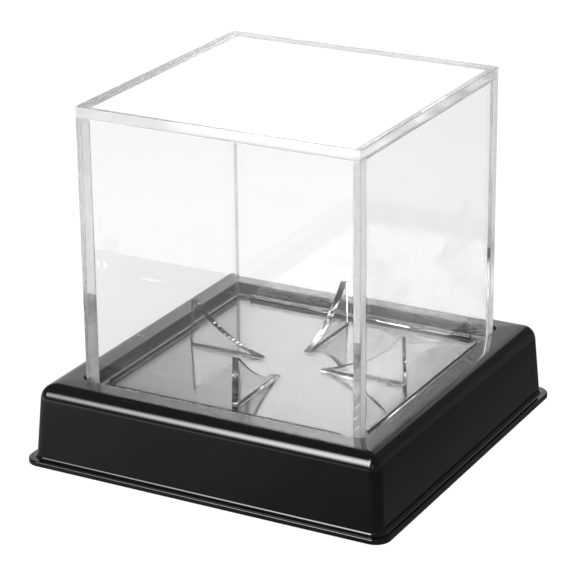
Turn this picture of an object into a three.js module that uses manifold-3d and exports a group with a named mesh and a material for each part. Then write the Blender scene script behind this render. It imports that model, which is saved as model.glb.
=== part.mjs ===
// A display cube for one ball: a clear box cover that stands in the pocket of a black
// moulded base, over a clear cradle plate with four curved fins.
// Millimetres, +Z up. The origin is the centre of the footprint, on the surface that the
// base stands on. +X points to the right panel and -Y to the front panel.

import * as THREE from "three";
import { mergeVertices } from "three/addons/utils/BufferGeometryUtils.js";
import Module from "manifold-3d";

// Cover: five panels of one sheet, cemented edge to edge.
const SHEET = 3.0;
const COVER_WIDTH = 82.0;
const COVER_TOP = 98.2;

// Base moulding, from the ground up.
const BASE_HEIGHT = 22.5;
const BASE_WALL = 2.2;
const FLANGE_HALF = 54.0;
const FLANGE_THICKNESS = 1.45;
const FLANGE_CORNER = 4.3;
const FLANGE_EDGE_ROUND = 0.4;
const SKIRT_FOOT_HALF = 51.9;
const SKIRT_FOOT_FILLET = 1.0;
const SKIRT_DRAFT = THREE.MathUtils.degToRad(3.8);
const SKIRT_CORNER = 3.1;
const RIM_ROUND = 4.5;
const SHARPEST_CORNER = 0.3;

// Pocket in the base, and what lies in it.
const POCKET_HALF = 42.1;
const POCKET_CORNER = 2.0;
const POCKET_WALL = 2.0;
const PLATE_TOP = 19.6;
const PLATE_THICKNESS = 1.5;
const PLATE_HALF = 41.9;

// Locating ribs on the cradle plate, one just inside each wall of the cover.
const RIB_THICKNESS = 1.0;
const RIB_HEIGHT = 1.3;
const RIB_HALF_LENGTH = 34.0;
const RIB_CLEARANCE = 0.3;

// Cradle fins, one on each half axis.
const FIN_HEIGHT = 13.55;
const FIN_OUTER_TOP = 31.2;
const FIN_OUTER_FOOT = 31.7;
const FIN_THICKNESS_TOP = 1.8;
const FIN_THICKNESS_FOOT = 2.1;
const SEAT_RADIUS = 39.2;
const SEAT_CENTRE_HEIGHT = 57.85;

// Facets.
const CORNER_STEPS = 6;
const EDGE_STEPS = 6;
const SEAT_STEPS = 16;

const POCKET_FLOOR = PLATE_TOP - PLATE_THICKNESS;
const CUT_MARGIN = 1.0;
const QUARTER_TURN = Math.PI / 2;

const wasm = await Module();
wasm.setup();

const CLEAR_ACRYLIC = { color: 0xeef2f2, roughness: 0.04, metalness: 0, transparent: true, opacity: 0.3 };
const CLEAR_MOULDING = { color: 0xe4e8e8, roughness: 0.07, metalness: 0, transparent: true, opacity: 0.4 };
const BLACK_PLASTIC = { color: 0x0b0b0c, roughness: 0.12, metalness: 0 };

function toSolid(geometry) {
  const bare = geometry.clone();
  bare.deleteAttribute("normal");
  bare.deleteAttribute("uv");
  const merged = mergeVertices(bare);
  const mesh = new wasm.Mesh({
    numProp: 3,
    vertProperties: new Float32Array(merged.attributes.position.array),
    triVerts: new Uint32Array(merged.index.array),
  });
  return new wasm.Manifold(mesh);
}

function toGeometry(solid) {
  const mesh = solid.getMesh();
  const geometry = new THREE.BufferGeometry();
  geometry.setAttribute("position", new THREE.BufferAttribute(mesh.vertProperties, 3));
  geometry.setIndex(new THREE.BufferAttribute(mesh.triVerts, 1));
  geometry.computeVertexNormals();
  return geometry;
}

function namedMesh(name, geometry, finish) {
  const mesh = new THREE.Mesh(geometry, new THREE.MeshStandardMaterial(finish));
  mesh.name = name;
  return mesh;
}

// The points of a square with rounded corners, at one height.
function squareRing({ half, corner, z }) {
  const ring = [];
  for (let quadrant = 0; quadrant < 4; quadrant += 1) {
    const diagonal = (quadrant + 0.5) * QUARTER_TURN;
    const centreX = Math.sign(Math.cos(diagonal)) * (half - corner);
    const centreY = Math.sign(Math.sin(diagonal)) * (half - corner);
    for (let step = 0; step <= CORNER_STEPS; step += 1) {
      const angle = (quadrant + step / CORNER_STEPS) * QUARTER_TURN;
      const x = centreX + corner * Math.cos(angle);
      const y = centreY + corner * Math.sin(angle);
      ring.push([x, y, z]);
    }
  }
  return ring;
}

// A closed solid through a stack of rounded squares, lowest first, with flat ends.
function loft(levels) {
  const rings = levels.map(squareRing);
  const count = rings[0].length;
  const indices = [];
  for (let level = 0; level + 1 < rings.length; level += 1) {
    for (let i = 0; i < count; i += 1) {
      const low = level * count + i;
      const lowNext = level * count + ((i + 1) % count);
      indices.push(low, lowNext, lowNext + count);
      indices.push(low, lowNext + count, low + count);
    }
  }
  const top = (rings.length - 1) * count;
  for (let i = 1; i + 1 < count; i += 1) {
    indices.push(0, i + 1, i);
    indices.push(top, top + i, top + i + 1);
  }
  const geometry = new THREE.BufferGeometry();
  geometry.setAttribute("position", new THREE.Float32BufferAttribute(rings.flat(2), 3));
  geometry.setIndex(indices);
  return geometry;
}

// A flat square plate with rounded corners, from its bottom height up.
function squarePlate(half, corner, bottom, thickness) {
  return loft([
    { half, corner, z: bottom },
    { half, corner, z: bottom + thickness },
  ]);
}

// Half width of the base's sloping skirt at a height, before its edges are rounded.
function skirtHalf(z) {
  return SKIRT_FOOT_HALF - (z - FLANGE_THICKNESS) * Math.tan(SKIRT_DRAFT);
}

// The rounded top edge of the skirt's surface, or of a surface that lies inset inside it.
function rimLevels(inset) {
  const radius = RIM_ROUND - inset;
  const centreZ = BASE_HEIGHT - inset - radius;
  const centreHalf = skirtHalf(centreZ) - (inset + radius) / Math.cos(SKIRT_DRAFT);
  const levels = [];
  for (let step = 0; step <= EDGE_STEPS; step += 1) {
    const angle = THREE.MathUtils.lerp(SKIRT_DRAFT, QUARTER_TURN, step / EDGE_STEPS);
    const half = centreHalf + radius * Math.cos(angle);
    const z = centreZ + radius * Math.sin(angle);
    const corner = Math.max(SKIRT_CORNER - (skirtHalf(z) - half), SHARPEST_CORNER);
    levels.push({ half, corner, z });
  }
  return levels;
}

// The foot flange, its rounded top edge and the fillet up to the skirt.
function flangeLevels() {
  const edgeTop = FLANGE_HALF - FLANGE_EDGE_ROUND;
  const cornerTop = FLANGE_CORNER - FLANGE_EDGE_ROUND;
  const levels = [
    { half: FLANGE_HALF, corner: FLANGE_CORNER, z: 0 },
    { half: FLANGE_HALF, corner: FLANGE_CORNER, z: FLANGE_THICKNESS - FLANGE_EDGE_ROUND },
    { half: edgeTop, corner: cornerTop, z: FLANGE_THICKNESS },
  ];
  const centreHalf = SKIRT_FOOT_HALF + SKIRT_FOOT_FILLET;
  const centreZ = FLANGE_THICKNESS + SKIRT_FOOT_FILLET;
  for (let step = 0; step <= 3; step += 1) {
    const angle = (step / 3) * QUARTER_TURN;
    const half = centreHalf - SKIRT_FOOT_FILLET * Math.sin(angle);
    const corner = SKIRT_CORNER + half - SKIRT_FOOT_HALF;
    levels.push({ half, corner, z: centreZ - SKIRT_FOOT_FILLET * Math.cos(angle) });
  }
  return levels;
}

// The black moulding: a thin skin that is open below, with a pocket in its top.
function makeBaseShell() {
  const outside = toSolid(loft([...flangeLevels(), ...rimLevels(0)]));
  const hollowMouth = {
    half: skirtHalf(-CUT_MARGIN) - BASE_WALL,
    corner: SKIRT_CORNER - BASE_WALL,
    z: -CUT_MARGIN,
  };
  const inside = toSolid(loft([hollowMouth, ...rimLevels(BASE_WALL)]));
  const housing = toSolid(
    squarePlate(
      POCKET_HALF + POCKET_WALL,
      POCKET_CORNER + POCKET_WALL,
      POCKET_FLOOR - POCKET_WALL,
      BASE_HEIGHT,
    ),
  );
  const pocket = toSolid(squarePlate(POCKET_HALF, POCKET_CORNER, POCKET_FLOOR, BASE_HEIGHT));
  const hollow = inside.subtract(housing);
  const shell = outside.subtract(hollow).subtract(pocket);
  return namedMesh("base_shell", toGeometry(shell), BLACK_PLASTIC);
}

// One locating rib along +X, with round ends, sunk a little way into the plate.
function ribSolid() {
  const radius = RIB_THICKNESS / 2;
  const straight = RIB_HALF_LENGTH - radius;
  const outline = new THREE.Shape();
  outline.absarc(straight, 0, radius, -QUARTER_TURN, QUARTER_TURN, false);
  outline.absarc(-straight, 0, radius, QUARTER_TURN, 3 * QUARTER_TURN, false);
  const sunk = PLATE_THICKNESS / 2;
  const rib = new THREE.ExtrudeGeometry(outline, {
    depth: RIB_HEIGHT + sunk,
    bevelEnabled: false,
    curveSegments: 4,
  });
  const wallInside = COVER_WIDTH / 2 - SHEET;
  rib.translate(0, -(wallInside - RIB_CLEARANCE - radius), PLATE_TOP - sunk);
  return rib;
}

function makeCradlePlate() {
  const plate = squarePlate(PLATE_HALF, POCKET_CORNER, POCKET_FLOOR, PLATE_THICKNESS);
  let solid = toSolid(plate);
  for (let side = 0; side < 4; side += 1) {
    const rib = ribSolid();
    rib.rotateZ(side * QUARTER_TURN);
    solid = solid.add(toSolid(rib));
  }
  return namedMesh("cradle_plate", toGeometry(solid), CLEAR_MOULDING);
}

// One fin along +X: a thin upright plate, thicker at its foot, with a curved inner edge
// that follows a circle a little larger than the ball.
function finGeometry() {
  const centreZ = SEAT_CENTRE_HEIGHT - PLATE_TOP;
  const footAngle = -Math.asin(centreZ / SEAT_RADIUS);
  const topAngle = -Math.asin((centreZ - FIN_HEIGHT) / SEAT_RADIUS);
  const outline = new THREE.Shape();
  outline.absarc(0, centreZ, SEAT_RADIUS, footAngle, topAngle, false);
  outline.lineTo(FIN_OUTER_TOP, FIN_HEIGHT);
  outline.lineTo(FIN_OUTER_FOOT, 0);
  outline.closePath();
  const fin = new THREE.ExtrudeGeometry(outline, {
    depth: 1,
    bevelEnabled: false,
    curveSegments: SEAT_STEPS,
  });
  fin.translate(0, 0, -0.5);
  fin.rotateX(QUARTER_TURN);
  const position = fin.getAttribute("position");
  for (let i = 0; i < position.count; i += 1) {
    const rise = position.getZ(i) / FIN_HEIGHT;
    const thickness = THREE.MathUtils.lerp(FIN_THICKNESS_FOOT, FIN_THICKNESS_TOP, rise);
    position.setY(i, position.getY(i) * thickness);
  }
  fin.computeVertexNormals();
  return fin;
}

function makeCradleFins() {
  const sides = ["right", "back", "left", "front"];
  return sides.map((side, index) => {
    const fin = namedMesh(`cradle_fin_${side}`, finGeometry(), CLEAR_MOULDING);
    fin.rotation.z = index * QUARTER_TURN;
    fin.position.z = PLATE_TOP;
    return fin;
  });
}

// A panel of the cover, given its sizes and the centre of its box.
function panel(name, size, centre) {
  const mesh = namedMesh(name, new THREE.BoxGeometry(...size), CLEAR_ACRYLIC);
  mesh.position.set(...centre);
  return mesh;
}

// The cover: front and back walls of the full width, side walls between them, and the
// top panel laid over all four.
function makeCover() {
  const wallTop = COVER_TOP - SHEET;
  const wallHeight = wallTop - PLATE_TOP;
  const wallMiddle = (wallTop + PLATE_TOP) / 2;
  const offset = (COVER_WIDTH - SHEET) / 2;
  const sideWidth = COVER_WIDTH - 2 * SHEET;
  const cover = new THREE.Group();
  cover.add(
    panel("top_panel", [COVER_WIDTH, COVER_WIDTH, SHEET], [0, 0, COVER_TOP - SHEET / 2]),
    panel("front_panel", [COVER_WIDTH, SHEET, wallHeight], [0, -offset, wallMiddle]),
    panel("back_panel", [COVER_WIDTH, SHEET, wallHeight], [0, offset, wallMiddle]),
    panel("left_panel", [SHEET, sideWidth, wallHeight], [-offset, 0, wallMiddle]),
    panel("right_panel", [SHEET, sideWidth, wallHeight], [offset, 0, wallMiddle]),
  );
  return cover;
}

const base = new THREE.Group();
base.add(makeBaseShell(), makeCradlePlate(), ...makeCradleFins());

const displayCube = new THREE.Group();
displayCube.add(base, makeCover());

export default displayCube;
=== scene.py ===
import math

import bmesh
import bpy
from mathutils import Matrix, Vector


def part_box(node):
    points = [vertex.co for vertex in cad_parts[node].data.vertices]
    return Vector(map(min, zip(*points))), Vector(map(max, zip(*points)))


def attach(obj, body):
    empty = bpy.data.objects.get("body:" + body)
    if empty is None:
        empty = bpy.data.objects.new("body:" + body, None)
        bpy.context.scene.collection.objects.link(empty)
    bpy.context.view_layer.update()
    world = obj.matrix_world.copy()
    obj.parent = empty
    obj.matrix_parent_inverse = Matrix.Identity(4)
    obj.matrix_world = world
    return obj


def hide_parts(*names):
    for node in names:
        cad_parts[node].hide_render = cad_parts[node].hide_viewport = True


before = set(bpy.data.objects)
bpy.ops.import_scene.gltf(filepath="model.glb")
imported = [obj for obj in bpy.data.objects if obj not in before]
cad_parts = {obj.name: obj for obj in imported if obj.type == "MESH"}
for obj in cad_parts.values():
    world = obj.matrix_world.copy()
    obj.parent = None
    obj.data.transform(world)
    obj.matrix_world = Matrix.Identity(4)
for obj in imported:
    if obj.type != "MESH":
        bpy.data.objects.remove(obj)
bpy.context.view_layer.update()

MM = 0.001

# ---------------------------------------------------------------------------
# Sizes, in metres.  Places and outer sizes come from the CAD frame.  The others repeat
# sizes of the CAD model that its boxes don't give, or are detail finer than it holds.
# ---------------------------------------------------------------------------

_, BASE_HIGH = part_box("base_shell")
PLATE_LOW, PLATE_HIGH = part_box("cradle_plate")
FIN_LOW, FIN_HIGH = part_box("cradle_fin_right")
COVER_LOW, COVER_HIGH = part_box("top_panel")

SHEET = COVER_HIGH.z - COVER_LOW.z
COVER_HALF = COVER_HIGH.x
FLOOR_TOP = FIN_LOW.z

BASE_TOP = BASE_HIGH.z
BASE_WALL = 2.2 * MM
FLANGE_HALF = BASE_HIGH.x
FLANGE_THICKNESS = 1.45 * MM
FLANGE_CORNER = 4.3 * MM
SKIRT_FOOT_HALF = 51.9 * MM
SKIRT_FILLET = 1.0 * MM
SKIRT_CORNER = 3.1 * MM
SKIRT_DRAFT = math.radians(3.8)
RIM_ROUND = 4.5 * MM
RIM_SLOPE = math.radians(3.0)
TIGHTEST_CORNER = 0.5 * MM
POCKET_HALF = 42.1 * MM
POCKET_CORNER = 2.0 * MM
POCKET_WALL = 2.0 * MM
POCKET_LIP = 0.35 * MM
AIR_GAP = 0.05 * MM

PLATE_EDGE = 0.15 * MM
RIB_THICKNESS = 1.0 * MM
RIB_HALF_LENGTH = 34.0 * MM
RIB_INSET = 0.3 * MM
SEAT_RADIUS = 39.2 * MM
SEAT_CENTRE = 57.85 * MM
FIN_THICKNESS_TOP = 1.8 * MM
FIN_THICKNESS_FOOT = 2.1 * MM
FIN_BACK_LEAN = 0.5 * MM
FIN_EDGE_ROUND = 0.2 * MM
FIN_TOP_ROUND = 0.25 * MM
FIN_FOOT_FILLET = 0.45 * MM

PANEL_BEVEL = 0.12 * MM
VOID_DEPTH = 0.08 * MM
VOID_EDGE = 0.25 * MM
VOID_ROUNDNESS = 0.96

CORNER_STEPS = 14
SMALL_CORNER_STEPS = 6
ARC_STEPS = 10
FIN_STEPS = 40

PROBE = 0.02 * MM
SAME_PLACE = 0.001 * MM

ACRYLIC_IOR = 1.49
MOULDING_IOR = 1.57
BLACK_IOR = 1.55


# ---------------------------------------------------------------------------
# Mesh helpers
# ---------------------------------------------------------------------------

def rounded_ring(low, high, corner, z, steps=CORNER_STEPS):
    """The points of a rectangle with rounded corners at height z, anticlockwise from above."""
    centre = (low + high) / 2
    reach = (high - low) / 2
    ring = []
    for quadrant, (sx, sy) in enumerate(((1, 1), (-1, 1), (-1, -1), (1, -1))):
        for step in range(steps + 1):
            angle = (quadrant + step / steps) * math.pi / 2
            x = centre.x + sx * (reach.x - corner) + corner * math.cos(angle)
            y = centre.y + sy * (reach.y - corner) + corner * math.sin(angle)
            ring.append(Vector((x, y, z)))
    return ring


def square_ring(half, corner, z):
    return rounded_ring(Vector((-half, -half)), Vector((half, half)), corner, z)


def loft(rings):
    """Vertices and faces of a closed solid through rings of equal length, with flat ends."""
    count = len(rings[0])
    vertices = [point for ring in rings for point in ring]
    faces = []
    for level in range(len(rings) - 1):
        for i in range(count):
            low = level * count + i
            low_next = level * count + (i + 1) % count
            faces.append((low, low_next, low_next + count, low + count))
    top = (len(rings) - 1) * count
    faces.append(tuple(reversed(range(count))))
    faces.append(tuple(range(top, top + count)))
    return vertices, faces


def make_mesh(name, vertices, faces):
    mesh = bpy.data.meshes.new(name)
    mesh.from_pydata(vertices, [], faces)
    shape = bmesh.new()
    shape.from_mesh(mesh)
    bmesh.ops.recalc_face_normals(shape, faces=shape.faces)
    shape.to_mesh(mesh)
    shape.free()
    return mesh


def make_object(name, mesh):
    piece = bpy.data.objects.new(name, mesh)
    bpy.context.scene.collection.objects.link(piece)
    return piece


def give_materials(piece, materials):
    for material in materials:
        piece.data.materials.append(material)


def finish_piece(piece, body, nodes):
    """Rides the piece on its body, in the place of the CAD nodes that it stands for."""
    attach(piece, body)
    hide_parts(*nodes)


def smooth(piece):
    """Smooth shading that keeps broad flat faces flat."""
    piece.data.shade_smooth()
    weighted = piece.modifiers.new("flat_faces_stay_flat", "WEIGHTED_NORMAL")
    weighted.mode = "FACE_AREA"
    weighted.weight = 100


def combine_solids(name, operation, solids):
    """One closed mesh: the first solid with the others joined to it or cut from it."""
    piece = make_object(name, solids[0])
    for solid in solids[1:]:
        other = make_object(name + "_other", solid)
        modifier = piece.modifiers.new("combine", "BOOLEAN")
        modifier.operation = operation
        modifier.solver = "EXACT"
        modifier.object = other
        graph = bpy.context.evaluated_depsgraph_get()
        combined = bpy.data.meshes.new_from_object(piece.evaluated_get(graph))
        piece.modifiers.remove(modifier)
        piece.data = combined
        bpy.data.objects.remove(other)
    piece.data.name = name
    return piece


# ---------------------------------------------------------------------------
# Materials
# ---------------------------------------------------------------------------

def new_material(name):
    material = bpy.data.materials.new(name)
    material.use_nodes = True
    tree = material.node_tree
    return material, tree, tree.nodes["Principled BSDF"]


def add_node(tree, kind, inputs=None, **settings):
    made = tree.nodes.new(kind)
    for name, value in settings.items():
        setattr(made, name, value)
    for key, value in (inputs or {}).items():
        if isinstance(value, bpy.types.NodeSocket):
            tree.links.new(value, made.inputs[key])
        else:
            made.inputs[key].default_value = value
    return made


def object_position(tree):
    return add_node(tree, "ShaderNodeTexCoord").outputs["Object"]


def stretched(tree, position, scale):
    mapping = add_node(tree, "ShaderNodeMapping", {"Vector": position, "Scale": scale})
    return mapping.outputs["Vector"]


def noise(tree, position, scale, detail=3.0, roughness=0.5):
    inputs = {"Vector": position, "Scale": scale, "Detail": detail, "Roughness": roughness}
    return add_node(tree, "ShaderNodeTexNoise", inputs).outputs["Fac"]


def remap(tree, value, low, high, to_low, to_high):
    inputs = {"Value": value, "From Min": low, "From Max": high, "To Min": to_low, "To Max": to_high}
    return add_node(tree, "ShaderNodeMapRange", inputs).outputs["Result"]


def combine(tree, operation, first, second):
    return add_node(tree, "ShaderNodeMath", {0: first, 1: second}, operation=operation).outputs[0]


def bump(tree, height, distance, strength=1.0, normal=None):
    inputs = {"Height": height, "Distance": distance, "Strength": strength}
    if normal is not None:
        inputs["Normal"] = normal
    return add_node(tree, "ShaderNodeBump", inputs).outputs["Normal"]


def clear_sheet_material():
    """Polished faces of the cast sheet: very slight waves and a few wiped smudges."""
    material, tree, shader = new_material("clear_acrylic_face")
    position = object_position(tree)
    smudge = noise(tree, position, 55.0, 4.0, 0.6)
    shader.inputs["Base Color"].default_value = (0.95, 0.953, 0.952, 1.0)
    shader.inputs["Transmission Weight"].default_value = 1.0
    shader.inputs["IOR"].default_value = ACRYLIC_IOR
    tree.links.new(remap(tree, smudge, 0.5, 0.85, 0.0, 0.05), shader.inputs["Roughness"])
    waves = noise(tree, position, 30.0, 1.0)
    tree.links.new(bump(tree, waves, 0.02 * MM, 0.5), shader.inputs["Normal"])
    return material


def cut_edge_material(name, axis, clear_outside, clear_inside, dullness):
    """Cut edges of the sheet: partly frosted, with fine marks along the edge (axis 0 to 2).
    How clear they are differs for light that comes from outside and from within the sheet."""
    material, tree, shader = new_material(name)
    position = object_position(tree)
    shader.inputs["Base Color"].default_value = (0.77, 0.78, 0.78, 1.0)
    from_inside = add_node(tree, "ShaderNodeNewGeometry").outputs["Backfacing"]
    clearness = remap(tree, from_inside, 0.0, 1.0, clear_outside, clear_inside)
    tree.links.new(clearness, shader.inputs["Transmission Weight"])
    shader.inputs["IOR"].default_value = ACRYLIC_IOR
    scale = [1800.0, 1800.0, 1800.0]
    scale[axis] = 25.0
    lines = noise(tree, stretched(tree, position, scale), 1.0, 2.0, 0.5)
    patches = noise(tree, position, 120.0, 2.0)
    roughness = remap(tree, patches, 0.35, 0.7, dullness, dullness + 0.18)
    tree.links.new(roughness, shader.inputs["Roughness"])
    tree.links.new(bump(tree, lines, 0.01 * MM, 0.5), shader.inputs["Normal"])
    return material


def bonded_seam_material(name, cloudiness):
    """Where two sheets are cemented, light passes from one to the other, and some scatters."""
    material, tree, shader = new_material(name)
    position = object_position(tree)
    haze = remap(tree, noise(tree, position, 350.0, 3.0), 0.4, 0.75, 0.99, 0.93)
    tint = add_node(tree, "ShaderNodeCombineColor", {0: haze, 1: haze, 2: haze})
    passing = add_node(tree, "ShaderNodeBsdfTransparent", {"Color": tint.outputs[0]})
    shader.inputs["Base Color"].default_value = (0.9, 0.9, 0.9, 1.0)
    shader.inputs["Roughness"].default_value = 0.6
    clouds = noise(tree, position, 90.0, 3.0)
    share = remap(tree, clouds, 0.3, 0.7, 0.8 * cloudiness, 1.2 * cloudiness)
    inputs = {"Fac": share, 1: passing.outputs[0], 2: shader.outputs[0]}
    mixed = add_node(tree, "ShaderNodeMixShader", inputs)
    tree.links.new(mixed.outputs[0], tree.nodes["Material Output"].inputs["Surface"])
    return material


def clear_moulding_material():
    """Injection-moulded clear styrene: gentle flow lines and a little haze."""
    material, tree, shader = new_material("clear_moulding")
    position = object_position(tree)
    shader.inputs["Base Color"].default_value = (0.92, 0.925, 0.925, 1.0)
    shader.inputs["Transmission Weight"].default_value = 1.0
    shader.inputs["IOR"].default_value = MOULDING_IOR
    haze = noise(tree, position, 120.0, 4.0, 0.6)
    tree.links.new(remap(tree, haze, 0.45, 0.8, 0.0, 0.04), shader.inputs["Roughness"])
    flow = noise(tree, stretched(tree, position, (60.0, 140.0, 60.0)), 1.0, 2.0)
    tree.links.new(bump(tree, flow, 0.05 * MM, 0.4), shader.inputs["Normal"])
    return material


def black_plastic_material():
    """Polished black moulding: faint orange peel, fine rub marks and dulled edges."""
    material, tree, shader = new_material("black_gloss_plastic")
    position = object_position(tree)
    shade = remap(tree, noise(tree, position, 70.0, 3.0), 0.3, 0.7, 0.0025, 0.0045)
    colour = add_node(tree, "ShaderNodeCombineColor", {0: shade, 1: shade, 2: shade})
    tree.links.new(colour.outputs[0], shader.inputs["Base Color"])
    shader.inputs["IOR"].default_value = BLACK_IOR
    rubs = noise(tree, stretched(tree, position, (400.0, 60.0, 400.0)), 1.0, 4.0, 0.6)
    rub_roughness = remap(tree, rubs, 0.45, 0.8, 0.06, 0.14)
    worn = add_node(tree, "ShaderNodeNewGeometry").outputs["Pointiness"]
    edge_roughness = remap(tree, worn, 0.52, 0.6, 0.0, 0.08)
    roughness = combine(tree, "ADD", rub_roughness, edge_roughness)
    tree.links.new(roughness, shader.inputs["Roughness"])
    peel = bump(tree, noise(tree, position, 160.0, 2.0), 0.02 * MM, 0.35)
    tree.links.new(bump(tree, rubs, 0.002 * MM, 0.3, peel), shader.inputs["Normal"])
    return material


def pocket_floor_material():
    """The floor of the pocket, under the clear insert: the same plastic, finely textured."""
    material, tree, shader = new_material("black_textured_plastic")
    position = object_position(tree)
    shader.inputs["Base Color"].default_value = (0.006, 0.006, 0.006, 1.0)
    shader.inputs["IOR"].default_value = BLACK_IOR
    grain = noise(tree, position, 2500.0, 2.0)
    tree.links.new(remap(tree, grain, 0.3, 0.7, 0.45, 0.6), shader.inputs["Roughness"])
    tree.links.new(bump(tree, grain, 0.02 * MM, 0.5), shader.inputs["Normal"])
    return material


CLEAR_FACE = clear_sheet_material()
CUT_EDGES = [
    cut_edge_material("clear_acrylic_cut_edge_" + letter, axis, 0.55, 0.93, 0.1)
    for axis, letter in enumerate("xyz")
]
FOOT_EDGE = cut_edge_material("clear_acrylic_sawn_foot", 0, 0.5, 0.55, 0.3)
TOP_SEAM = bonded_seam_material("cloudy_cement", 0.65)
UPRIGHT_SEAM = bonded_seam_material("clear_cement", 0.15)
CLEAR_MOULDING = clear_moulding_material()
BLACK_PLASTIC = black_plastic_material()
POCKET_FLOOR = pocket_floor_material()
BASE_MATERIALS = [BLACK_PLASTIC, POCKET_FLOOR]
PANEL_MATERIALS = [CLEAR_FACE] + CUT_EDGES + [UPRIGHT_SEAM, TOP_SEAM, FOOT_EDGE]


# ---------------------------------------------------------------------------
# Base moulding
# ---------------------------------------------------------------------------

def skirt_half(z):
    return SKIRT_FOOT_HALF - (z - FLANGE_THICKNESS) * math.tan(SKIRT_DRAFT)


def arc_levels(centre_half, centre_z, radius, start, end, corner_of):
    """Rings on an arc of the section, from angle start to end (degrees, 0 points outwards)."""
    levels = []
    for step in range(ARC_STEPS + 1):
        angle = math.radians(start + (end - start) * step / ARC_STEPS)
        half = centre_half + radius * math.cos(angle)
        levels.append((half, corner_of(half), centre_z + radius * math.sin(angle)))
    return levels


def offset_corner(half_at, corner_at):
    """Corner radius for a ring that is offset from one of known size."""
    return lambda half: max(corner_at + half - half_at, TIGHTEST_CORNER)


def rim_arc(inset):
    """The rounded outer edge of the rim, or of a surface that lies inset inside it.  It runs
    into the top of the rim, which slopes gently outwards from the pocket."""
    radius = RIM_ROUND - inset
    flat = skirt_half(BASE_TOP) - RIM_ROUND - POCKET_HALF
    centre_z = BASE_TOP - flat * math.tan(RIM_SLOPE) - RIM_ROUND
    centre_half = skirt_half(centre_z) - RIM_ROUND / math.cos(SKIRT_DRAFT)
    corner_of = offset_corner(skirt_half(centre_z), SKIRT_CORNER)
    start = math.degrees(SKIRT_DRAFT)
    end = 90 - math.degrees(RIM_SLOPE)
    return arc_levels(centre_half, centre_z, radius, start, end, corner_of)


def base_shell():
    """The black moulding as one skin: housing, inside, flange, skirt, rim and pocket."""
    housing_low = PLATE_LOW.z - POCKET_WALL
    housing_half = POCKET_HALF + POCKET_WALL
    housing_corner = offset_corner(housing_half, POCKET_CORNER + POCKET_WALL)
    inner_top = BASE_TOP - BASE_WALL
    small = 0.5 * MM
    levels = arc_levels(housing_half - small, housing_low + small, small, -90, 0, housing_corner)
    levels += arc_levels(housing_half + small, inner_top - small, small, 180, 90, housing_corner)
    levels += list(reversed(rim_arc(BASE_WALL)))
    mouth = skirt_half(0) - BASE_WALL
    inner_corner = offset_corner(mouth, SKIRT_CORNER - BASE_WALL)
    tiny = 0.2 * MM
    levels += arc_levels(mouth + tiny, tiny, tiny, 180, 270, inner_corner)
    flange_corner = offset_corner(FLANGE_HALF, FLANGE_CORNER)
    levels += arc_levels(FLANGE_HALF - tiny, tiny, tiny, -90, 0, flange_corner)
    edge = 0.4 * MM
    levels += arc_levels(FLANGE_HALF - edge, FLANGE_THICKNESS - edge, edge, 0, 90, flange_corner)
    skirt_corner = offset_corner(SKIRT_FOOT_HALF, SKIRT_CORNER)
    fillet_half = SKIRT_FOOT_HALF + SKIRT_FILLET
    fillet_z = FLANGE_THICKNESS + SKIRT_FILLET
    levels += arc_levels(fillet_half, fillet_z, SKIRT_FILLET, 270, 180, skirt_corner)
    levels += rim_arc(0)
    pocket_corner = offset_corner(POCKET_HALF, POCKET_CORNER)
    lip_half = POCKET_HALF + POCKET_LIP
    levels += arc_levels(lip_half, BASE_TOP - POCKET_LIP, POCKET_LIP, 90, 180, pocket_corner)
    floor_half = POCKET_HALF - tiny
    levels += arc_levels(floor_half, PLATE_LOW.z + tiny, tiny, 0, -90, pocket_corner)
    rings = [square_ring(*level) for level in levels]
    piece = make_object("base_moulding", make_mesh("base_moulding", *loft(rings)))
    smooth(piece)
    give_materials(piece, BASE_MATERIALS)
    pocket_floor = piece.data.polygons[-1]
    pocket_floor.material_index = BASE_MATERIALS.index(POCKET_FLOOR)
    finish_piece(piece, "base", ["base_shell"])


# ---------------------------------------------------------------------------
# What lies in the pocket
# ---------------------------------------------------------------------------

def edge_rounded_plate(half, corner, low, high, edge):
    """A flat square plate with rounded corners and rounded edges."""
    corner_of = offset_corner(half, corner)
    levels = arc_levels(half - edge, low + edge, edge, -90, 0, corner_of)
    levels += arc_levels(half - edge, high - edge, edge, 0, 90, corner_of)
    return loft([square_ring(*level) for level in levels])


def rib_mesh(quarter):
    """A locating rib with round ends, a little draft and a rounded top."""
    half = RIB_THICKNESS / 2
    middle = -(COVER_HALF - SHEET - RIB_INSET - half)
    sunk = 0.5 * MM
    rounding = 0.3 * MM
    top = PLATE_HIGH.z
    levels = [(0.0, FLOOR_TOP - sunk), (0.0, top - rounding)]
    for step in range(1, ARC_STEPS + 1):
        angle = math.pi / 2 * step / ARC_STEPS
        inset = rounding * (1 - math.cos(angle))
        levels.append((inset, top - rounding + rounding * math.sin(angle)))
    rings = []
    for inset, z in levels:
        low = Vector((-RIB_HALF_LENGTH + inset, middle - half + inset))
        high = Vector((RIB_HALF_LENGTH - inset, middle + half - inset))
        rings.append(rounded_ring(low, high, half - inset, z, SMALL_CORNER_STEPS))
    mesh = make_mesh("rib", *loft(rings))
    mesh.transform(Matrix.Rotation(quarter * math.pi / 2, 4, "Z"))
    return mesh


def fin_thickness(z):
    """Thickness of a fin at a height above the plate: draft, and a fillet at the foot."""
    rise = z / (FIN_HIGH.z - FLOOR_TOP)
    thickness = FIN_THICKNESS_FOOT + (FIN_THICKNESS_TOP - FIN_THICKNESS_FOOT) * rise
    reach = max(0.0, 1 - z / FIN_FOOT_FILLET)
    return thickness + 2 * FIN_FOOT_FILLET * (1 - math.sqrt(1 - reach * reach))


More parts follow.
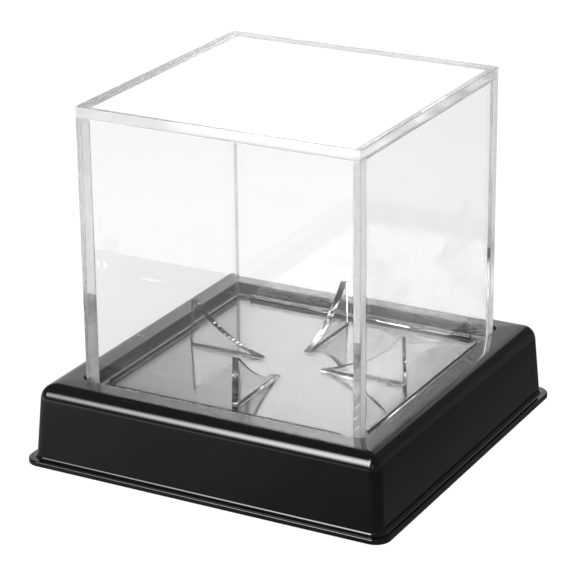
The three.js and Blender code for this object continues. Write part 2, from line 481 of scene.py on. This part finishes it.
def fin_mesh(quarter):
    """A fin built as a stack of level slices between its curved inner edge and its back."""
    height = FIN_HIGH.z - FLOOR_TOP
    centre = SEAT_CENTRE - FLOOR_TOP
    outer_foot = FIN_HIGH.x
    outer_top = FIN_HIGH.x - FIN_BACK_LEAN
    sunk = 0.4 * MM
    tip = math.sqrt(SEAT_RADIUS ** 2 - centre ** 2)
    inner_top = math.sqrt(SEAT_RADIUS ** 2 - (centre - height) ** 2)
    slices = [(tip, -sunk, 0.0)]
    for step in range(FIN_STEPS + 1):
        share = step / FIN_STEPS
        inner = tip + (inner_top - tip) * share
        z = centre - math.sqrt(SEAT_RADIUS ** 2 - inner ** 2)
        slices.append((inner, z, 0.0))
    slices = [s for s in slices if s[1] < height - FIN_TOP_ROUND]
    for step in range(ARC_STEPS + 1):
        angle = math.pi / 2 * step / ARC_STEPS
        z = height - FIN_TOP_ROUND + FIN_TOP_ROUND * math.sin(angle)
        inner = math.sqrt(SEAT_RADIUS ** 2 - (centre - z) ** 2)
        slices.append((inner, z, FIN_TOP_ROUND * (1 - math.cos(angle))))
    rings = []
    for inner, z, inset in slices:
        outer = outer_foot + (outer_top - outer_foot) * max(z, 0) / height
        half = fin_thickness(max(z, 0)) / 2 - inset
        low = Vector((inner + inset, -half))
        high = Vector((outer - inset, half))
        corner = min(FIN_EDGE_ROUND, 0.45 * (high.x - low.x))
        rings.append(rounded_ring(low, high, corner, FLOOR_TOP + z, SMALL_CORNER_STEPS))
    mesh = make_mesh("fin", *loft(rings))
    mesh.transform(Matrix.Rotation(quarter * math.pi / 2, 4, "Z"))
    return mesh


def cradle_insert():
    """The clear moulding: floor plate, locating ribs and fins in one."""
    plate_low = PLATE_LOW.z + AIR_GAP
    plate = edge_rounded_plate(PLATE_HIGH.x, POCKET_CORNER, plate_low, FLOOR_TOP, PLATE_EDGE)
    solids = [make_mesh("plate", *plate)]
    for quarter in range(4):
        solids.append(rib_mesh(quarter))
        solids.append(fin_mesh(quarter))
    piece = combine_solids("cradle_insert", "UNION", solids)
    smooth(piece)
    give_materials(piece, [CLEAR_MOULDING])
    nodes = ["cradle_plate"] + [f"cradle_fin_{side}" for side in ("right", "back", "left", "front")]
    finish_piece(piece, "base", nodes)


# ---------------------------------------------------------------------------
# Cover
# ---------------------------------------------------------------------------

PANEL_THIN_AXIS = {
    "top_panel": 2,
    "front_panel": 1,
    "back_panel": 1,
    "left_panel": 0,
    "right_panel": 0,
}

# Places along the top seam of a wall that the cement didn't reach, in millimetres: start and
# end along the wall, offset outwards from the middle of the sheet, and width.
SEAM_VOIDS = {
    "left_panel": [(-31.5, -6.0, 0.1, 1.3), (11.0, 39.0, 0.1, 1.3)],
    "right_panel": [
        (-37.0, -21.0, -0.4, 1.0),
        (-18.0, -9.0, 0.5, 0.8),
        (-4.0, 12.0, -0.2, 1.2),
        (16.0, 34.0, 0.4, 0.9),
    ],
    "front_panel": [(-34.0, -28.0, 0.2, 1.8), (-26.5, -16.0, 0.2, 1.6)],
}


def void_mesh(node, start, end, offset, width):
    """A thin lens of trapped air in the seam over one wall, with round ends."""
    low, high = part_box(node)
    across = PANEL_THIN_AXIS[node]
    middle = (low + high) / 2
    outwards = math.copysign(1.0, middle[across])
    centre = Vector(((start + end) / 2, (start + end) / 2)) * MM
    centre[across] = middle[across] + outwards * offset * MM
    reach = Vector(((end - start) / 2, (end - start) / 2)) * MM
    reach[across] = width / 2 * MM
    rings = []
    for side in (-1, 0, 1):
        size = reach - Vector((VOID_EDGE, VOID_EDGE)) * abs(side)
        corner = VOID_ROUNDNESS * min(size)
        z = high.z + side * VOID_DEPTH
        rings.append(rounded_ring(centre - size, centre + size, corner, z, SMALL_CORNER_STEPS))
    return make_mesh("void", *loft(rings))


def bevelled_box(name, low, high):
    shape = bmesh.new()
    bmesh.ops.create_cube(shape, size=1.0)
    middle = (low + high) / 2
    size = high - low
    for vertex in shape.verts:
        vertex.co = Vector(m + c * s for m, c, s in zip(middle, vertex.co, size))
    edges = shape.edges[:]
    bmesh.ops.bevel(shape, geom=edges, offset=PANEL_BEVEL, segments=2, profile=0.5, affect="EDGES")
    mesh = bpy.data.meshes.new(name)
    shape.to_mesh(mesh)
    shape.free()
    return mesh


def is_at(place, other):
    return abs(place - other) < SAME_PLACE


def split_at_walls(shape, axes, seam_axis, seam_place):
    """Divides the face of a panel that its neighbours are cemented to, along their outlines."""
    for axis in axes:
        for side in (-1, 1):
            place = Vector((0.0, 0.0, 0.0))
            place[axis] = side * (COVER_HALF - SHEET + PANEL_BEVEL)
            normal = Vector((0.0, 0.0, 0.0))
            normal[axis] = 1.0
            faces = [f for f in shape.faces if is_at(f.calc_center_median()[seam_axis], seam_place)]
            geometry = faces + list({e for f in faces for e in f.edges})
            geometry += list({v for f in faces for v in f.verts})
            bmesh.ops.bisect_plane(shape, geom=geometry, plane_co=place, plane_no=normal)


def is_inside(point, box):
    low, high = box
    return all(l < p < h for l, p, h in zip(low, point, high))


def is_void_face(face, node):
    """Whether a face lies close along the top seam, as the faces round trapped air do."""
    low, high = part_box(node)
    seam = low.z if node == "top_panel" else high.z
    return all(abs(v.co.z - seam) < 1.1 * VOID_DEPTH for v in face.verts)


def panel_material(face, node, neighbours):
    """Cement where a face meets a neighbour, polish on the broad faces and round trapped air,
    a duller foot, and cut edges with their marks along the face's longest side."""
    just_outside = face.calc_center_median() + face.normal * PROBE
    if any(is_inside(just_outside, box) for box in neighbours):
        return TOP_SEAM if abs(face.normal.z) > 0.5 else UPRIGHT_SEAM
    if abs(face.normal[PANEL_THIN_AXIS[node]]) > 0.1 or is_void_face(face, node):
        return CLEAR_FACE
    if face.normal.z < -0.9:
        return FOOT_EDGE
    spans = [[v.co[axis] for v in face.verts] for axis in range(3)]
    lengths = [max(span) - min(span) for span in spans]
    return CUT_EDGES[lengths.index(max(lengths))]


def panel(node):
    """A sheet panel: polished faces, cut edges, and seams where it meets its neighbours.
    The old materials go first, because clearing them also resets the faces' indices."""
    low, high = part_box(node)
    if node != "top_panel":
        low = low + Vector((0.0, 0.0, AIR_GAP))
    walls = SEAM_VOIDS if node == "top_panel" else {node: SEAM_VOIDS.get(node, [])}
    voids = [void_mesh(wall, *place) for wall, places in walls.items() for place in places]
    name = node + "_sheet"
    piece = combine_solids(name, "DIFFERENCE", [bevelled_box(name, low, high)] + voids)
    piece.data.materials.clear()
    shape = bmesh.new()
    shape.from_mesh(piece.data)
    if node == "top_panel":
        split_at_walls(shape, (0, 1), 2, low.z)
    elif PANEL_THIN_AXIS[node] == 1:
        inner = low.y if low.y > 0 else high.y
        split_at_walls(shape, (0,), 1, inner)
    neighbours = [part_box(other) for other in PANEL_THIN_AXIS if other != node]
    for face in shape.faces:
        face.material_index = PANEL_MATERIALS.index(panel_material(face, node, neighbours))
    give_materials(piece, PANEL_MATERIALS)
    shape.to_mesh(piece.data)
    shape.free()
    finish_piece(piece, "cover", [node])


def cover():
    for node in PANEL_THIN_AXIS:
        panel(node)


# ---------------------------------------------------------------------------
# Stage: floor, world, lights and camera
# ---------------------------------------------------------------------------

# Where the camera stands round AIM, and how far it is moved right and up in its own plane.
CAMERA_AZIMUTH = math.radians(28.66)
CAMERA_ELEVATION = math.radians(21.15)
CAMERA_ROLL = math.radians(-0.61)
CAMERA_DISTANCE = 674.7 * MM
CAMERA_LENS = 154.22
SENSOR_WIDTH = 36.0
AIM = Vector((0.0, 0.0, 21.66 * MM))
AIM_RIGHT = -1.76 * MM
AIM_UP = 18.36 * MM

# The studio's lights: their levels, their directions in degrees, and their soft edges as
# pairs of degrees, from an azimuth or up from the horizon.
ROOM_LEVEL = 0.14
BACKDROP_LEVEL = 0.8
BACKDROP_AZIMUTH = 208.0
BACKDROP_SIDE = (28.0, 39.0)
BACKDROP_TOP = (32.0, 41.0)
STRIP_LEVEL = 1.4
STRIP_SIDES = ((84.0, 87.0), (90.0, 98.0))
STRIP_ENDS = ((4.0, 14.0), (30.0, 38.0))
KEY_LEVEL = 16.0
KEY_AZIMUTH = -20.0
KEY_SIDE = (8.0, 25.0)
KEY_ENDS = ((10.0, 32.0), (42.0, 66.0))
HORIZON_MIRRORED = 0.05
HORIZON_ON_DULL = 0.9
HORIZON_TOP = (8.0, 18.0)
FILL_LEVEL = 0.6
FILL_SIDE = (40.0, 110.0)

# The floor and the card on it: half sizes, the ring's soft edges by distance from its
# centre, and the levels of ring and card where their fade along X starts and ends.
FLOOR_HALF = 40.0
FLOOR_SHADE = 0.05
CARD_HALF = 4.0
CARD_CENTRE = (20 * MM, -10 * MM, 0.0)
RING_INNER = (115 * MM, 215 * MM)
RING_OUTER = (260 * MM, 340 * MM)
RING_FADE = (-50 * MM, 120 * MM)
RING_LEVELS = (0.85, 0.15)
DARK_FADE = (-50 * MM, 75 * MM)
DARK_LEVELS = (0.34, 0.08)


def direction(azimuth, elevation):
    """Unit vector from the object towards a place at that azimuth and elevation."""
    level = math.cos(elevation)
    return Vector((math.sin(azimuth) * level, -math.cos(azimuth) * level, math.sin(elevation)))


def make_camera():
    back = direction(CAMERA_AZIMUTH, CAMERA_ELEVATION)
    right = Vector((math.cos(CAMERA_AZIMUTH), math.sin(CAMERA_AZIMUTH), 0.0))
    up = back.cross(right)
    turn = Matrix.Rotation(CAMERA_ROLL, 3, back)
    right = turn @ right
    up = turn @ up
    data = bpy.data.cameras.new("camera")
    data.sensor_width = SENSOR_WIDTH
    data.lens = CAMERA_LENS
    data.clip_start = 0.01
    data.clip_end = 20.0
    camera = bpy.data.objects.new("camera", data)
    place = AIM + right * AIM_RIGHT + up * AIM_UP + back * CAMERA_DISTANCE
    turned = Matrix((right, up, back)).transposed().to_4x4()
    camera.matrix_world = Matrix.Translation(place) @ turned
    bpy.context.scene.collection.objects.link(camera)
    bpy.context.scene.camera = camera


def level_square(name, half, z):
    """A square lying under the object, as a stage object."""
    corners = [(-half, -half, 0), (half, -half, 0), (half, half, 0), (-half, half, 0)]
    mesh = bpy.data.meshes.new(name)
    mesh.from_pydata(corners, [], [(0, 1, 2, 3)])
    square = make_object(name, mesh)
    square.location.z = z
    return square


def make_floor():
    """A plain white floor.  Its own glow makes it white, so it is even and takes no shadow."""
    floor = level_square("floor", FLOOR_HALF, -0.1 * MM)
    material, _, shader = new_material("floor_white")
    shader.inputs["Base Color"].default_value = (FLOOR_SHADE, FLOOR_SHADE, FLOOR_SHADE, 1.0)
    shader.inputs["Roughness"].default_value = 1.0
    shader.inputs["Specular IOR Level"].default_value = 0.0
    shader.inputs["Emission Color"].default_value = (1.0, 1.0, 1.0, 1.0)
    shader.inputs["Emission Strength"].default_value = 1.0
    floor.data.materials.append(material)


def window(tree, value, rise, fall):
    """1 between the two soft edges and 0 outside; each edge is a pair of values."""
    return combine(tree, "MULTIPLY", smooth_step(tree, value, *rise), fade_out(tree, value, *fall))


def smooth_step(tree, value, low, high):
    inputs = {"Value": value, "From Min": low, "From Max": high}
    settings = {"interpolation_type": "SMOOTHSTEP"}
    return add_node(tree, "ShaderNodeMapRange", inputs, **settings).outputs["Result"]


def fade_out(tree, value, low, high):
    """1 below low, 0 above high, with a smooth change between them."""
    return combine(tree, "SUBTRACT", 1.0, smooth_step(tree, value, low, high))


def angle_from(tree, level_direction, azimuth):
    """How far a level direction is from an azimuth, in degrees."""
    towards = direction(math.radians(azimuth), 0.0)
    inputs = {0: level_direction, 1: towards}
    cosine = add_node(tree, "ShaderNodeVectorMath", inputs, operation="DOT_PRODUCT").outputs["Value"]
    angle = add_node(tree, "ShaderNodeMath", {0: cosine}, operation="ARCCOSINE").outputs[0]
    return combine(tree, "MULTIPLY", angle, math.degrees(1.0))


def weighted_sum(tree, terms):
    total = None
    for weight, value in terms:
        term = combine(tree, "MULTIPLY", value, weight)
        total = term if total is None else combine(tree, "ADD", total, term)
    return total


def make_world():
    """A white room where it is seen directly or through the clear parts.  What is reflected
    or lights the object is a dim studio: a lit backdrop behind the object, with a brighter
    strip down its middle and one opposite, and a tall softbox at the front left.  Dull
    surfaces are also lit by a fill light from the right and by a pale horizon, which is
    faint in reflections."""
    world = bpy.data.worlds.new("studio")
    bpy.context.scene.world = world
    world.use_nodes = True
    tree = world.node_tree
    tree.nodes.clear()
    looking = add_node(tree, "ShaderNodeTexCoord").outputs["Generated"]
    z = add_node(tree, "ShaderNodeSeparateXYZ", {0: looking}).outputs["Z"]
    radians = add_node(tree, "ShaderNodeMath", {0: z}, operation="ARCSINE").outputs[0]
    elevation = combine(tree, "MULTIPLY", radians, math.degrees(1.0))
    flat = add_node(tree, "ShaderNodeVectorMath", {0: looking, 1: (1, 1, 0)}, operation="MULTIPLY")
    level = add_node(tree, "ShaderNodeVectorMath", {0: flat.outputs[0]}, operation="NORMALIZE").outputs[0]
    light_path = add_node(tree, "ShaderNodeLightPath")

    from_backdrop = angle_from(tree, level, BACKDROP_AZIMUTH)
    backdrop_width = fade_out(tree, from_backdrop, *BACKDROP_SIDE)
    backdrop = combine(tree, "MULTIPLY", backdrop_width, fade_out(tree, elevation, *BACKDROP_TOP))

    from_right = angle_from(tree, level, BACKDROP_AZIMUTH - 90.0)
    strip_width = window(tree, from_right, *STRIP_SIDES)
    strip = combine(tree, "MULTIPLY", strip_width, window(tree, elevation, *STRIP_ENDS))

    from_key = angle_from(tree, level, KEY_AZIMUTH)
    key_width = fade_out(tree, from_key, *KEY_SIDE)
    key = combine(tree, "MULTIPLY", key_width, window(tree, elevation, *KEY_ENDS))

    on_dull = light_path.outputs["Is Diffuse Ray"]
    horizon_level = remap(tree, on_dull, 0.0, 1.0, HORIZON_MIRRORED, HORIZON_ON_DULL)
    horizon = combine(tree, "MULTIPLY", fade_out(tree, elevation, *HORIZON_TOP), horizon_level)
    fill = combine(tree, "MULTIPLY", fade_out(tree, from_right, *FILL_SIDE), on_dull)

    lights = [
        (BACKDROP_LEVEL, backdrop),
        (STRIP_LEVEL, strip),
        (KEY_LEVEL, key),
        (1.0, horizon),
        (FILL_LEVEL, fill),
    ]
    strength = combine(tree, "ADD", weighted_sum(tree, lights), ROOM_LEVEL)
    studio = add_node(tree, "ShaderNodeBackground", {"Color": (1, 1, 1, 1), "Strength": strength})
    plain = add_node(tree, "ShaderNodeBackground", {"Color": (1, 1, 1, 1), "Strength": 1.0})
    turns = combine(tree, "ADD", light_path.outputs["Glossy Depth"], light_path.outputs["Diffuse Depth"])
    turned = combine(tree, "MINIMUM", turns, 1.0)
    inputs = {"Fac": turned, 1: plain.outputs[0], 2: studio.outputs[0]}
    mixed = add_node(tree, "ShaderNodeMixShader", inputs)
    add_node(tree, "ShaderNodeOutputWorld", {"Surface": mixed.outputs[0]})


def make_floor_card():
    """A large dark card on the floor with a pale ring round the object, both fading towards
    the right.  It is only seen in reflections, where it keeps the black moulding black."""
    card = level_square("floor_card", CARD_HALF, -0.05 * MM)
    card.visible_camera = False
    card.visible_diffuse = False
    card.visible_transmission = False
    card.visible_shadow = False
    material, tree, shader = new_material("floor_card")
    tree.nodes.remove(shader)
    position = object_position(tree)
    x = add_node(tree, "ShaderNodeSeparateXYZ", {0: position}).outputs["X"]
    inputs = {0: position, 1: CARD_CENTRE}
    distance = add_node(tree, "ShaderNodeVectorMath", inputs, operation="DISTANCE").outputs["Value"]
    ring = window(tree, distance, RING_INNER, RING_OUTER)
    pale = combine(tree, "MULTIPLY", ring, remap(tree, x, *RING_FADE, *RING_LEVELS))
    strength = combine(tree, "ADD", pale, remap(tree, x, *DARK_FADE, *DARK_LEVELS))
    glow = add_node(tree, "ShaderNodeEmission", {"Color": (1, 1, 1, 1), "Strength": strength})
    output = tree.nodes["Material Output"]
    tree.links.new(glow.outputs[0], output.inputs["Surface"])
    card.data.materials.append(material)


def set_up_render():
    scene = bpy.context.scene
    scene.view_settings.view_transform = "Standard"
    scene.cycles.max_bounces = 40
    scene.cycles.transmission_bounces = 40
    scene.cycles.glossy_bounces = 24
    scene.cycles.transparent_max_bounces = 16


make_camera()
base_shell()
cradle_insert()
cover()
make_floor()
make_floor_card()
make_world()
set_up_render()
